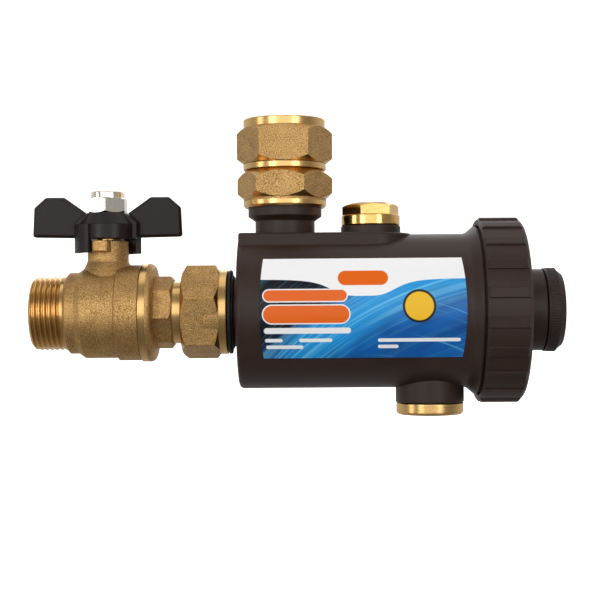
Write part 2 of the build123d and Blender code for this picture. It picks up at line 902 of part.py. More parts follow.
with BuildPart() as outlet_lower_nut:
    with BuildSketch(Plane((OUTLET_X, 0, LOWER_HEX_Z))) as hexagon:
        RegularPolygon(UNION_FLATS / 2, 6, major_radius=False, rotation=from_front(LOWER_CORNER))
        fillet(hexagon.vertices(), 0.5)
    extrude(amount=LOWER_HEX_TOP_Z - LOWER_HEX_Z)
    revolve(
        upright(OUTLET_X, swap(hex_envelope(LOWER_HEX_Z, LOWER_HEX_TOP_Z, UNION_FLATS, 3.2, 13.9))),
        axis=branch_axis(OUTLET_X),
        mode=Mode.INTERSECT,
    )
    revolve(
        upright(
            OUTLET_X,
            [
                (0, LOWER_NUT_Z),
                (MID_COLLAR_R - 0.6, LOWER_NUT_Z),
                (MID_COLLAR_R, LOWER_NUT_Z + 0.8),
                (MID_COLLAR_R, LOWER_HEX_Z + 2.4),
                (0, LOWER_HEX_Z + 2.4),
            ],
        ),
        axis=branch_axis(OUTLET_X),
    )
    revolve(
        upright(
            OUTLET_X,
            [
                (0, LOWER_NUT_Z),
                (UNION_BORE_R + 0.5, LOWER_NUT_Z),
                (UNION_BORE_R, LOWER_NUT_Z + 0.5),
                (UNION_BORE_R, LOWER_LIP_Z),
                (UNION_LIP_R, LOWER_LIP_Z),
                (UNION_LIP_R, LOWER_HEX_TOP_Z),
                (0, LOWER_HEX_TOP_Z),
            ],
        ),
        axis=branch_axis(OUTLET_X),
        mode=Mode.SUBTRACT,
    )
save(outlet_lower_nut, "outlet_lower_nut")

with BuildPart() as outlet_nipple:
    revolve(
        upright(
            OUTLET_X,
            [
                (9.0, NIPPLE_BOTTOM_Z),
                (UNION_TUBE_R, NIPPLE_BOTTOM_Z),
                (UNION_TUBE_R, LOWER_RETAINER_Z),
                (RETAINER_INNER_R, LOWER_RETAINER_Z),
                (RETAINER_INNER_R, LOWER_RETAINER_Z + RETAINER_WIDTH),
                (UNION_TUBE_R, LOWER_RETAINER_Z + RETAINER_WIDTH),
                (UNION_TUBE_R, MID_COLLAR_Z),
                (MID_COLLAR_R, MID_COLLAR_Z, 0.2),
                (MID_COLLAR_R, MID_COLLAR_TOP_Z, 0.2),
                (UNION_TUBE_R, MID_COLLAR_TOP_Z),
                (UNION_TUBE_R, UPPER_RETAINER_Z),
                (RETAINER_INNER_R, UPPER_RETAINER_Z),
                (RETAINER_INNER_R, UPPER_RETAINER_Z + RETAINER_WIDTH),
                (UNION_TUBE_R, UPPER_RETAINER_Z + RETAINER_WIDTH),
                (UNION_TUBE_R, NIPPLE_TOP_Z),
                (9.0, NIPPLE_TOP_Z),
            ],
        ),
        axis=branch_axis(OUTLET_X),
    )
save(outlet_nipple, "outlet_nipple")

with BuildPart() as outlet_retainers:
    for ring_z in (LOWER_RETAINER_Z, UPPER_RETAINER_Z):
        add(retaining_ring(Plane((OUTLET_X, 0, ring_z))))
save(outlet_retainers, "outlet_retainers")

with BuildPart() as outlet_lower_gasket:
    with BuildSketch(Plane((OUTLET_X, 0, OUTLET_NECK_TOP_Z))):
        Circle(12.9)
        Circle(GASKET_INNER_R, mode=Mode.SUBTRACT)
    extrude(amount=NIPPLE_BOTTOM_Z - OUTLET_NECK_TOP_Z)
save(outlet_lower_gasket, "outlet_lower_gasket")

with BuildPart() as outlet_upper_gasket:
    with BuildSketch(Plane((OUTLET_X, 0, NIPPLE_TOP_Z))):
        Circle(RETAINER_OUTER_R)
        Circle(GASKET_INNER_R, mode=Mode.SUBTRACT)
    extrude(amount=2.0)
save(outlet_upper_gasket, "outlet_upper_gasket")

with BuildPart() as outlet_upper_nut:
    with BuildSketch(Plane((OUTLET_X, 0, UPPER_NUT_Z))) as hexagon:
        RegularPolygon(UNION_FLATS / 2, 6, major_radius=False, rotation=from_front(UPPER_CORNER))
        fillet(hexagon.vertices(), 0.5)
    extrude(amount=UPPER_HEX_TOP_Z - UPPER_NUT_Z)
    revolve(
        upright(OUTLET_X, swap(hex_envelope(UPPER_NUT_Z, UPPER_HEX_TOP_Z, UNION_FLATS, 2.0, 14.9))),
        axis=branch_axis(OUTLET_X),
        mode=Mode.INTERSECT,
    )
    revolve(
        upright(OUTLET_X, [(0, 62), (14.8, 62), (14.8, UPPER_NUT_TOP_Z, 0.3), (0, UPPER_NUT_TOP_Z)]),
        axis=branch_axis(OUTLET_X),
    )
    revolve(
        upright(
            OUTLET_X,
            [
                (0, UPPER_NUT_Z),
                (UNION_LIP_R, UPPER_NUT_Z),
                (UNION_LIP_R, UPPER_LIP_TOP_Z),
                (UNION_BORE_R, UPPER_LIP_TOP_Z),
                (UNION_BORE_R, UPPER_THREAD_Z),
                (THREAD_MINOR_R, UPPER_THREAD_Z),
                (THREAD_MINOR_R, UPPER_NUT_TOP_Z - 1),
                (THREAD_MINOR_R + 1, UPPER_NUT_TOP_Z),
                (0, UPPER_NUT_TOP_Z),
            ],
        ),
        axis=branch_axis(OUTLET_X),
        mode=Mode.SUBTRACT,
    )
    add(
        thread_groove((OUTLET_X, 0, 60.0), (0, 0, 1), 10.0, THREAD_MINOR_R, THREAD_MAJOR_R),
        mode=Mode.SUBTRACT,
    )
save(outlet_upper_nut, "outlet_upper_nut")


# ---- Vent and drain plugs -----------------------------------------------------------------

VENT_TIP_Z = 24.6
VENT_FLANGE_Z = 30.8
VENT_HEX_Z = 34.5
VENT_HEX_TOP_Z = 38.4
VENT_FLATS = 18.0
VENT_CORNER = 38.6
VENT_NECK_R = 7.9
VENT_O_RING_R = 0.75

with BuildPart() as vent_plug:
    with BuildSketch(Plane((VENT_X, 0, VENT_HEX_Z - 0.5))) as hexagon:
        RegularPolygon(VENT_FLATS / 2, 6, major_radius=False, rotation=from_front(VENT_CORNER))
        fillet(hexagon.vertices(), 0.3)
    extrude(amount=VENT_HEX_TOP_Z - VENT_HEX_Z + 0.5)
    revolve(
        upright(
            VENT_X,
            [(0, VENT_HEX_Z - 0.5), (10.5, VENT_HEX_Z - 0.5), (10.5, VENT_HEX_TOP_Z - 1.0, 0.5),
             (8.6, VENT_HEX_TOP_Z), (0, VENT_HEX_TOP_Z)],
        ),
        axis=branch_axis(VENT_X),
        mode=Mode.INTERSECT,
    )
    revolve(
        upright(
            VENT_X,
            [
                (0, VENT_TIP_Z),
                (VENT_THREAD_R - 1.0, VENT_TIP_Z),
                (VENT_THREAD_R, VENT_TIP_Z + 1.0),
                (VENT_THREAD_R, VENT_SEAT_Z - 0.4),
                (VENT_NECK_R, VENT_SEAT_Z),
                (VENT_NECK_R, VENT_FLANGE_Z),
                (10.55, VENT_FLANGE_Z, 0.3),
                (10.55, VENT_HEX_Z, 0.5),
                (0, VENT_HEX_Z),
            ],
        ),
        axis=branch_axis(VENT_X),
    )
    revolve(
        upright(
            VENT_X,
            [
                (0, VENT_HEX_Z),
                (VENT_NECK_R, VENT_HEX_Z),
                (VENT_NECK_R - 0.5, VENT_HEX_TOP_Z + 0.4, 0.2),
                (0, VENT_HEX_TOP_Z + 0.4),
            ],
        ),
        axis=branch_axis(VENT_X),
    )
save(vent_plug, "vent_plug")

with BuildPart() as vent_o_ring:
    add(o_ring(Plane((VENT_X, 0, VENT_BOSS_TOP_Z - VENT_O_RING_R - 0.05)), 8.7, VENT_O_RING_R))
save(vent_o_ring, "vent_o_ring")

DRAIN_TIP_Z = -25.5
DRAIN_HEAD_Z = -33.1
DRAIN_BOTTOM_Z = -37.3
DRAIN_NECK_R = 10.2
DRAIN_HEAD_R = 12.1
DRAIN_KEY_FLATS = 12.0
DRAIN_KEY_DEPTH = 5.0
DRAIN_O_RING_R = 0.65

with BuildPart() as drain_plug:
    revolve(
        upright(
            DRAIN_X,
            [
                (0, DRAIN_BOTTOM_Z),
                (DRAIN_HEAD_R - 0.8, DRAIN_BOTTOM_Z, 0.3),
                (DRAIN_HEAD_R, DRAIN_BOTTOM_Z + 0.8, 0.3),
                (DRAIN_HEAD_R, DRAIN_HEAD_Z, 0.3),
                (DRAIN_NECK_R, DRAIN_HEAD_Z),
                (DRAIN_NECK_R, DRAIN_SEAT_Z),
                (DRAIN_THREAD_R, DRAIN_SEAT_Z + 0.4),
                (DRAIN_THREAD_R, DRAIN_TIP_Z - 0.9),
                (DRAIN_THREAD_R - 0.9, DRAIN_TIP_Z),
                (0, DRAIN_TIP_Z),
            ],
        ),
        axis=branch_axis(DRAIN_X),
    )
    with BuildSketch(Plane((DRAIN_X, 0, DRAIN_BOTTOM_Z))) as key_socket:
        RegularPolygon(DRAIN_KEY_FLATS / 2, 6, major_radius=False)
        fillet(key_socket.vertices(), 0.3)
    extrude(amount=DRAIN_KEY_DEPTH, mode=Mode.SUBTRACT)
save(drain_plug, "drain_plug")

with BuildPart() as drain_o_ring:
    add(o_ring(Plane((DRAIN_X, 0, DRAIN_BOSS_BOTTOM_Z + DRAIN_O_RING_R + 0.05)), 10.95, DRAIN_O_RING_R))
save(drain_o_ring, "drain_o_ring")


# ---- Ring nut and end cover ---------------------------------------------------------------

RIB_COUNT = 20
RIB_FIRST = 7.6
RIB_WIDTH = 3.8
LIP_X = 166.5
LIP_HOLE_R = 23.2
RING_NUT_BORE_R = 30.45

with BuildPart() as ring_nut:
    with BuildSketch(Plane.YZ.offset(RING_NUT_X)) as ribbed:
        Circle(RING_NUT_R)
        with PolarLocations(RING_NUT_R - 1, RIB_COUNT, start_angle=180 + RIB_FIRST):
            Rectangle(2 * (RIB_R - RING_NUT_R + 1), RIB_WIDTH)
        rib_tips = ribbed.vertices().filter_by(
            lambda corner: Vector(corner.X, corner.Y, 0).length > RING_NUT_R + 0.2
        )
        fillet(rib_tips, 0.35)
    extrude(amount=RING_NUT_END_X - RING_NUT_X)
    revolve(
        turned(
            [
                (RING_NUT_X, 0),
                (RING_NUT_X, RING_NUT_R - 0.3, 0.3),
                (RING_NUT_X + 1.0, RIB_R + 0.1),
                (RING_NUT_END_X - 1.7, RIB_R + 0.1, 0.8),
                (RING_NUT_END_X, RIB_R - 1.9, 0.6),
                (RING_NUT_END_X, 0),
            ]
        ),
        axis=Axis.X,
        mode=Mode.INTERSECT,
    )
    revolve(
        turned(
            [
                (RING_NUT_X, 0),
                (RING_NUT_X, RING_NUT_BORE_R + 0.4),
                (RING_NUT_X + 0.4, RING_NUT_BORE_R),
                (LIP_X, RING_NUT_BORE_R),
                (LIP_X, LIP_HOLE_R),
                (RING_NUT_END_X, LIP_HOLE_R),
                (RING_NUT_END_X, 0),
            ]
        ),
        axis=Axis.X,
        mode=Mode.SUBTRACT,
    )
save(ring_nut, "ring_nut")

SPIGOT_X = 156.0
COVER_SPIGOT_R = 24.35
COVER_GROOVE_X = 158.6
COVER_GROOVE_WIDTH = 2.4
COVER_GROOVE_R = 22.2
COVER_O_RING_SECTION_R = 1.05
COVER_FLANGE_X = 163.6
COVER_FLANGE_R = 29.9
SHEATH_FLANGE_X = 170.0
KNOB_BORE_R = 9.3

with BuildPart() as end_cover:
    revolve(
        turned(
            [
                (SPIGOT_X, SHEATH_R + RUNNING_GAP),
                (SPIGOT_X, COVER_SPIGOT_R, 0.5),
                (COVER_GROOVE_X, COVER_SPIGOT_R),
                (COVER_GROOVE_X, COVER_GROOVE_R),
                (COVER_GROOVE_X + COVER_GROOVE_WIDTH, COVER_GROOVE_R),
                (COVER_GROOVE_X + COVER_GROOVE_WIDTH, COVER_SPIGOT_R),
                (COVER_FLANGE_X, COVER_SPIGOT_R),
                (COVER_FLANGE_X, COVER_FLANGE_R, 0.3),
                (LIP_X - 0.1, COVER_FLANGE_R, 0.3),
                (LIP_X - 0.1, LIP_HOLE_R - 0.2),
                (168.4, LIP_HOLE_R - 0.2, 0.5),
                (168.4, HUB_R, 1.0),
                (HUB_END_X, HUB_R, 0.5),
                (HUB_END_X, KNOB_BORE_R),
                (SHEATH_FLANGE_X, KNOB_BORE_R),
                (SHEATH_FLANGE_X, SHEATH_R + RUNNING_GAP),
            ]
        ),
        axis=Axis.X,
    )
save(end_cover, "end_cover")

with BuildPart() as cover_o_ring:
    add(
        o_ring(
            Plane.YZ.offset(COVER_GROOVE_X + COVER_GROOVE_WIDTH / 2),
            COVER_GROOVE_R + 0.05 + COVER_O_RING_SECTION_R,
            COVER_O_RING_SECTION_R,
        )
    )
save(cover_o_ring, "cover_o_ring")


# ---- Filter and magnet core ---------------------------------------------------------------

SHEATH_TIP_X = 77.0
CAGE_X = 72.0
CAGE_RIB_COUNT = 6
CAGE_R = 22.0
CAGE_HOLE_R = SHEATH_R + 4
SCREEN_WALL = 0.4

with BuildPart() as magnet_sheath:
    revolve(
        turned(
            [
                (SHEATH_TIP_X, 0),
                (SHEATH_TIP_X, SHEATH_R, 3.0),
                (SHEATH_FLANGE_X, SHEATH_R),
                (SHEATH_FLANGE_X, SHEATH_BORE_R),
                (SHEATH_TIP_X + 1.5, SHEATH_BORE_R, 2.0),
                (SHEATH_TIP_X + 1.5, 0),
            ]
        ),
        axis=Axis.X,
    )
save(magnet_sheath, "magnet_sheath")

with BuildPart() as filter_screen:
    revolve(
        turned(
            [
                (CAGE_X + 1, SCREEN_R - SCREEN_WALL),
                (CAGE_X + 1, SCREEN_R),
                (SPIGOT_X, SCREEN_R),
                (SPIGOT_X, SCREEN_R - SCREEN_WALL),
            ]
        ),
        axis=Axis.X,
    )
save(filter_screen, "filter_screen")

with BuildPart() as filter_cage:
    ring_width = 3.0
    middle_x = (CAGE_X + SPIGOT_X) / 2
    inner_r = SCREEN_R + RUNNING_GAP
    for ring_x in (CAGE_X + 1, middle_x - ring_width / 2, SPIGOT_X - ring_width):
        revolve(
            turned(
                [
                    (ring_x, inner_r),
                    (ring_x, CAGE_R),
                    (ring_x + ring_width, CAGE_R),
                    (ring_x + ring_width, inner_r),
                ]
            ),
            axis=Axis.X,
        )
    revolve(
        turned(
            [
                (CAGE_X, CAGE_HOLE_R),
                (CAGE_X, CAGE_R, 0.3),
                (CAGE_X + 1, CAGE_R),
                (CAGE_X + 1, CAGE_HOLE_R),
            ]
        ),
        axis=Axis.X,
    )
    with BuildSketch(Plane.YZ.offset(CAGE_X + 1)):
        with PolarLocations((inner_r + CAGE_R) / 2, CAGE_RIB_COUNT):
            Rectangle(CAGE_R - inner_r - 0.2, 3.0)
    extrude(amount=SPIGOT_X - CAGE_X - 1)
save(filter_cage, "filter_cage")

MAGNET_STEP = MAGNET_LENGTH + POLE_LENGTH
STACK_END_X = MAGNETS_X + MAGNET_COUNT * MAGNET_STEP + POLE_LENGTH
CORE_TIP_X = MAGNETS_X - 2.5

with BuildPart() as magnets:
    for index in range(MAGNET_COUNT):
        with BuildSketch(Plane.YZ.offset(MAGNETS_X + POLE_LENGTH + index * MAGNET_STEP)):
            Circle(MAGNET_R)
            Circle(TIE_ROD_R + RUNNING_GAP, mode=Mode.SUBTRACT)
        extrude(amount=MAGNET_LENGTH)
save(magnets, "magnets")

with BuildPart() as pole_plates:
    for index in range(MAGNET_COUNT + 1):
        with BuildSketch(Plane.YZ.offset(MAGNETS_X + index * MAGNET_STEP)):
            Circle(MAGNET_R)
            Circle(TIE_ROD_R + RUNNING_GAP, mode=Mode.SUBTRACT)
        extrude(amount=POLE_LENGTH)
save(pole_plates, "pole_plates")

KNURL_START_X = 178.2
KNURL_END_X = 181.4
KNURL_COUNT = 96
PLUG_O_RING_X = 173.4
PLUG_GROOVE_R = 8.0
PLUG_GROOVE_WIDTH = 1.6
PLUG_O_RING_SECTION_R = 0.6
ROD_SOCKET_X = STACK_END_X + 10

with BuildPart() as magnet_knob:
    revolve(
        turned(
            [
                (STACK_END_X, 0),
                (STACK_END_X, MAGNET_R),
                (PLUG_O_RING_X - PLUG_GROOVE_WIDTH / 2, MAGNET_R),
                (PLUG_O_RING_X - PLUG_GROOVE_WIDTH / 2, PLUG_GROOVE_R),
                (PLUG_O_RING_X + PLUG_GROOVE_WIDTH / 2, PLUG_GROOVE_R),
                (PLUG_O_RING_X + PLUG_GROOVE_WIDTH / 2, MAGNET_R),
                (KNOB_X, MAGNET_R),
                (KNOB_X, KNOB_R - 0.1, 0.3),
                (KNOB_END_X - 2.7, KNOB_R - 0.1),
                (KNOB_END_X, KNOB_R - 2.1, 0.5),
                (KNOB_END_X, 0),
            ]
        ),
        axis=Axis.X,
    )
    with BuildSketch(Plane.YZ.offset(KNURL_START_X)):
        with PolarLocations(KNOB_R - 0.3, KNURL_COUNT):
            Rectangle(0.6, 0.5)
    extrude(amount=KNURL_END_X - KNURL_START_X)
    with BuildSketch(Plane.YZ.offset(STACK_END_X)):
        Circle(TIE_ROD_R + RUNNING_GAP)
    extrude(amount=ROD_SOCKET_X - STACK_END_X, mode=Mode.SUBTRACT)
save(magnet_knob, "magnet_knob")

with BuildPart() as magnet_tie_rod:
    with BuildSketch(Plane.YZ.offset(CORE_TIP_X)):
        Circle(TIE_ROD_R)
    extrude(amount=ROD_SOCKET_X - CORE_TIP_X - 0.1)
    with BuildSketch(Plane.YZ.offset(CORE_TIP_X)):
        Circle(2 * TIE_ROD_R)
    extrude(amount=MAGNETS_X - CORE_TIP_X)
save(magnet_tie_rod, "magnet_tie_rod")

with BuildPart() as knob_o_ring:
    add(
        o_ring(
            Plane.YZ.offset(PLUG_O_RING_X),
            PLUG_GROOVE_R + 0.02 + PLUG_O_RING_SECTION_R,
            PLUG_O_RING_SECTION_R,
        )
    )
save(knob_o_ring, "knob_o_ring")
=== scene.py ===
import math

import bpy
from mathutils import Matrix, Vector


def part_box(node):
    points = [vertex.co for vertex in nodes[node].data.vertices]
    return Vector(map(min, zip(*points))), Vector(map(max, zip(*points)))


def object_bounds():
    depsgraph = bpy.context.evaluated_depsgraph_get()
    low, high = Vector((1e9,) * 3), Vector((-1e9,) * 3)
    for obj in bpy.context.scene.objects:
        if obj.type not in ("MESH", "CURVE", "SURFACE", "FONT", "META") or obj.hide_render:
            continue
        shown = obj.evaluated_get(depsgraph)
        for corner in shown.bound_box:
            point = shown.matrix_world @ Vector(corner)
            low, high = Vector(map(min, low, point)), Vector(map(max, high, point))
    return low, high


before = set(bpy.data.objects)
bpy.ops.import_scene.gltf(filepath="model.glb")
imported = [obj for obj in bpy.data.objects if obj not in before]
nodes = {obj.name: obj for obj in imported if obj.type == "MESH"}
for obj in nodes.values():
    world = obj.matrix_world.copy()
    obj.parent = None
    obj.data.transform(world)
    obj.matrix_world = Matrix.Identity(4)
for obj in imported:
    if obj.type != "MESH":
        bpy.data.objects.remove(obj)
cad_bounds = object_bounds()

MM = 0.001


# ---- Places read from the frame ------------------------------------------------------------


def middle_x(node):
    """Middle of a CAD node's box along the main axis, in millimetres."""
    low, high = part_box(node)
    return ((low + high) / 2).x / MM


def span(node, axis):
    """Lowest and highest coordinate of a CAD node along an axis, in millimetres."""
    low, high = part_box(node)
    return low[axis] / MM, high[axis] / MM


STEM_X = middle_x("stem_washer")
OUTLET_X = middle_x("outlet_nipple")
VENT_X = middle_x("vent_o_ring")
DRAIN_X = middle_x("drain_o_ring")
LABEL_X = span("label", 0)
LABEL_Z = span("label", 2)


# ---- Shader building -----------------------------------------------------------------------


class Shader:
    """A material in the making, with short calls for the nodes that the finishes share.

    Lengths in the calls are millimetres, because place is the object's own place in millimetres.
    """

    def __init__(self, name, **constants):
        self.material = bpy.data.materials.new(name)
        self.material.use_nodes = True
        self.tree = self.material.node_tree
        self.surface = self.tree.nodes["Principled BSDF"]
        for socket, value in constants.items():
            self.surface.inputs[socket.replace("_", " ")].default_value = value
        object_place = self.node("ShaderNodeTexCoord").outputs["Object"]
        self.object_normal = self.node("ShaderNodeTexCoord").outputs["Normal"]
        self.place = self.vector("SCALE", object_place, scale=1 / MM)

    def node(self, kind, **settings):
        made = self.tree.nodes.new(kind)
        for name, value in settings.items():
            setattr(made, name, value)
        return made

    def feed(self, socket, source):
        """Links source to the socket, or sets the socket if source is a plain value."""
        if hasattr(source, "is_output"):
            self.tree.links.new(source, socket)
        else:
            socket.default_value = source

    def math(self, operation, first, second=None, clamp=False):
        made = self.node("ShaderNodeMath", operation=operation, use_clamp=clamp)
        self.feed(made.inputs[0], first)
        if second is not None:
            self.feed(made.inputs[1], second)
        return made.outputs[0]

    def plus(self, first, second):
        return self.math("ADD", first, second)

    def minus(self, first, second):
        return self.math("SUBTRACT", first, second)

    def times(self, first, second):
        return self.math("MULTIPLY", first, second)

    def either(self, first, second):
        return self.math("MAXIMUM", first, second)

    def vector(self, operation, first, scale=None):
        made = self.node("ShaderNodeVectorMath", operation=operation)
        self.feed(made.inputs[0], first)
        if scale is not None:
            made.inputs["Scale"].default_value = scale
        return made.outputs["Value" if operation == "LENGTH" else "Vector"]

    def parts(self, vector):
        made = self.node("ShaderNodeSeparateXYZ")
        self.feed(made.inputs[0], vector)
        return made.outputs

    def join(self, x, y, z):
        made = self.node("ShaderNodeCombineXYZ")
        for socket, source in zip(made.inputs, (x, y, z)):
            self.feed(socket, source)
        return made.outputs[0]

    def step(self, value, low, high):
        """0 below low, 1 above high, smooth between them."""
        made = self.node("ShaderNodeMapRange", interpolation_type="SMOOTHSTEP")
        self.feed(made.inputs["Value"], value)
        made.inputs["From Min"].default_value = low
        made.inputs["From Max"].default_value = high
        return made.outputs["Result"]

    def fit(self, value, low, high, to_low, to_high):
        """Carries low..high over to to_low..to_high, in proportion and clamped."""
        made = self.node("ShaderNodeMapRange")
        self.feed(made.inputs["Value"], value)
        for socket, number in zip(made.inputs[1:5], (low, high, to_low, to_high)):
            socket.default_value = number
        return made.outputs["Result"]

    def band(self, value, low, high, soft):
        """1 between low and high, falling to 0 over soft on each side."""
        rise = self.step(value, low - soft, low)
        fall = self.step(value, high, high + soft)
        return self.math("SUBTRACT", rise, fall, clamp=True)

    def noise(self, place, scale, detail=2.0, roughness=0.5, distortion=0.0):
        made = self.node("ShaderNodeTexNoise")
        self.feed(made.inputs["Vector"], place)
        made.inputs["Scale"].default_value = scale
        made.inputs["Detail"].default_value = detail
        made.inputs["Roughness"].default_value = roughness
        made.inputs["Distortion"].default_value = distortion
        return made.outputs["Fac"]

    def streaks(self, first, first_scale, second, second_scale, seed=0.0, detail=2.0):
        """Noise over two coordinates with a scale each, so a small scale draws it out."""
        place = self.join(self.times(first, first_scale), self.times(second, second_scale), seed)
        return self.noise(place, 1.0, detail=detail)

    def cells(self, place, scale):
        made = self.node("ShaderNodeTexVoronoi")
        self.feed(made.inputs["Vector"], place)
        made.inputs["Scale"].default_value = scale
        return made.outputs["Distance"]

    def mix(self, share, first, second):
        """Colour from first at a share of 0 to second at a share of 1."""
        made = self.node("ShaderNodeMix", data_type="RGBA")
        self.feed(made.inputs[0], share)
        self.feed(made.inputs[6], first)
        self.feed(made.inputs[7], second)
        return made.outputs[2]

    def mix_number(self, share, first, second):
        made = self.node("ShaderNodeMix", data_type="FLOAT")
        self.feed(made.inputs[0], share)
        self.feed(made.inputs[2], first)
        self.feed(made.inputs[3], second)
        return made.outputs[0]

    def rounded(self, radius_mm):
        """Normal with sharp edges eased over radius_mm."""
        made = self.node("ShaderNodeBevel", samples=6)
        made.inputs["Radius"].default_value = radius_mm * MM
        return made.outputs["Normal"]

    def bump(self, height, depth_mm, strength, normal=None):
        """Normal over a relief whose height of 1 stands depth_mm proud."""
        made = self.node("ShaderNodeBump")
        made.inputs["Distance"].default_value = depth_mm * MM
        self.feed(made.inputs["Strength"], strength)
        self.feed(made.inputs["Height"], height)
        if normal is not None:
            self.feed(made.inputs["Normal"], normal)
        return made.outputs["Normal"]

    def finish(self, color, roughness, normal=None, alpha=None):
        for name, source in (
            ("Base Color", color),
            ("Roughness", roughness),
            ("Normal", normal),
            ("Alpha", alpha),
        ):
            if source is not None:
                self.feed(self.surface.inputs[name], source)
        return self.material


def rgb(red, green, blue):
    """Linear colour of an sRGB triple given from 0 to 255."""

    def linear(channel):
        share = channel / 255
        return share / 12.92 if share <= 0.04045 else ((share + 0.055) / 1.055) ** 2.4

    return (linear(red), linear(green), linear(blue), 1.0)


def wear(material, *names):
    """Gives CAD nodes a material."""
    for name in names:
        for slot in nodes[name].material_slots:
            slot.material = material


def around(shader, centre_x=None):
    """(station along the axis, distance from it, both in mm) of the main axis, or of the
    vertical axis at centre_x."""
    x, y, z = shader.parts(shader.place)
    if centre_x is None:
        station, first, second = x, y, z
    else:
        station, first, second = z, shader.minus(x, centre_x), y
    return station, shader.vector("LENGTH", shader.join(first, second, 0.0))


# ---- Metals --------------------------------------------------------------------------------

FORGED = rgb(190, 146, 84)
FORGED_DARK = rgb(158, 116, 62)
# Painted highlight: the colour given to the tops of the sand grains
FORGED_PAINTED_GLINT = rgb(232, 198, 142)
# Painted shade: the colour given to the hollows of the sand
FORGED_PIT_SHADE = rgb(122, 86, 44)
TURNED = rgb(230, 192, 128)
TURNED_DARK = rgb(196, 154, 94)

# Easing of edges, depth of relief and width of soft borders are in mm; scales are noise per mm
BRASS_EDGE = 0.25
BRIGHT_EDGE = 0.2
TURNED_EDGE_BLEND = 0.12
BORE_EDGE_BLEND = 0.1
SAND_DEPTH = 0.16
BRASS_RING_SCALE = 9.0
BRASS_RING_DEPTH = 0.012
BRIGHT_RING_SCALE = 8.0
BRIGHT_RING_DEPTH = 0.008

# Radius in mm that takes in the whole of each piece that was turned all over
ALL_OVER = 20


def brass(name, centre_x=None, turned_spans=(), bore_r=0.0, faces_turned=True):
    """Brass forging, sand-textured, with painted highlights on the raised grains and painted shade in the
    hollows between them, and with bright lathe-turned areas.

    turned_spans are stretches along the axis, in mm, that were turned; bore_r is the radius
    inside which everything was; faces_turned says that surfaces facing along the axis were.
    """
    shader = Shader(name, Metallic=1.0)
    station, radius = around(shader, centre_x)
    turned = shader.minus(
        1.0, shader.step(radius, bore_r - BORE_EDGE_BLEND, bore_r + BORE_EDGE_BLEND)
    )
    for low, high in turned_spans:
        turned = shader.either(turned, shader.band(station, low, high, TURNED_EDGE_BLEND))
    if faces_turned:
        facing = shader.parts(shader.object_normal)[0 if centre_x is None else 2]
        turned = shader.either(turned, shader.step(shader.math("ABSOLUTE", facing), 0.2, 0.3))

    sand = shader.noise(shader.place, 2.6, detail=3.0, roughness=0.62)
    pits = shader.cells(shader.place, 2.1)
    patches = shader.noise(shader.place, 0.16)
    forged_relief = shader.plus(sand, shader.times(pits, 0.45))
    rings = shader.streaks(station, BRASS_RING_SCALE, radius, BRASS_RING_SCALE)

    forged_color = shader.mix(shader.fit(patches, 0.3, 0.7, 0.0, 1.0), FORGED_DARK, FORGED)
    # Painted highlight on the raised sand grains
    forged_color = shader.mix(shader.fit(sand, 0.42, 0.66, 0.0, 0.75), forged_color, FORGED_PAINTED_GLINT)
    # Painted shade in the hollows of the sand
    forged_color = shader.mix(shader.fit(sand, 0.46, 0.30, 0.0, 0.6), forged_color, FORGED_PIT_SHADE)
    turned_color = shader.mix(shader.fit(rings, 0.3, 0.7, 0.0, 1.0), TURNED_DARK, TURNED)
    color = shader.mix(turned, forged_color, turned_color)

    forged_rough = shader.fit(sand, 0.3, 0.75, 0.62, 0.42)
    turned_rough = shader.fit(rings, 0.3, 0.7, 0.20, 0.32)
    roughness = shader.mix_number(turned, forged_rough, turned_rough)

    eased = shader.rounded(BRASS_EDGE)
    forged_strength = shader.times(shader.minus(1.0, turned), 0.75)
    normal = shader.bump(forged_relief, SAND_DEPTH, forged_strength, eased)
    normal = shader.bump(rings, BRASS_RING_DEPTH, shader.times(turned, 0.5), normal)
    return shader.finish(color, roughness, normal)


def bright_metal(name, color, dull_color, roughness, centre_x=None):
    """Plated or ground metal with faint tool rings and handling marks."""
    shader = Shader(name, Metallic=1.0)
    station, radius = around(shader, centre_x)
    rings = shader.streaks(station, BRIGHT_RING_SCALE, radius, BRIGHT_RING_SCALE)
    marks = shader.noise(shader.place, 0.9, detail=4.0, roughness=0.65)
    base = shader.mix(shader.fit(marks, 0.4, 0.75, 0.0, 0.7), color, dull_color)
    rough = shader.fit(marks, 0.35, 0.75, roughness, roughness * 1.9)
    normal = shader.bump(rings, BRIGHT_RING_DEPTH, 0.4, shader.rounded(BRIGHT_EDGE))
    return shader.finish(base, rough, normal)


# ---- Plastics, paint and rubber ------------------------------------------------------------

MOULDED_EDGE = 0.3
SPARK_DEPTH = 0.03


def moulded(name, color, light_color, roughness, texture=1.0, **constants):
    """Moulded or painted surface: fine spark-eroded texture, faint flow marks, light scuffs."""
    shader = Shader(name, **constants)
    grain = shader.noise(shader.place, 5.5, roughness=0.6)
    flow = shader.noise(shader.place, 0.09, detail=3.0, roughness=0.55, distortion=0.6)
    scuffs = shader.noise(shader.place, 1.3, detail=5.0, roughness=0.7)
    base = shader.mix(shader.fit(flow, 0.3, 0.7, 0.0, 0.55), color, light_color)
    base = shader.mix(shader.fit(scuffs, 0.6, 0.8, 0.0, 0.35), base, light_color)
    flow_rough = shader.fit(flow, 0.3, 0.7, roughness, roughness + 0.06)
    rough = shader.plus(flow_rough, shader.fit(scuffs, 0.5, 0.8, 0.0, 0.07))
    normal = shader.bump(grain, SPARK_DEPTH, 0.35 * texture, shader.rounded(MOULDED_EDGE))
    return shader.finish(base, rough, normal)


def rubber(name):
    """Black rubber with a grey bloom."""
    shader = Shader(name, Specular_IOR_Level=0.35)
    bloom = shader.noise(shader.place, 0.8, detail=4.0)
    base = shader.mix(shader.fit(bloom, 0.4, 0.7, 0.0, 1.0), rgb(24, 24, 25), rgb(44, 43, 43))
    rough = shader.fit(bloom, 0.3, 0.7, 0.55, 0.72)
    return shader.finish(base, rough, shader.bump(bloom, 0.02, 0.4))


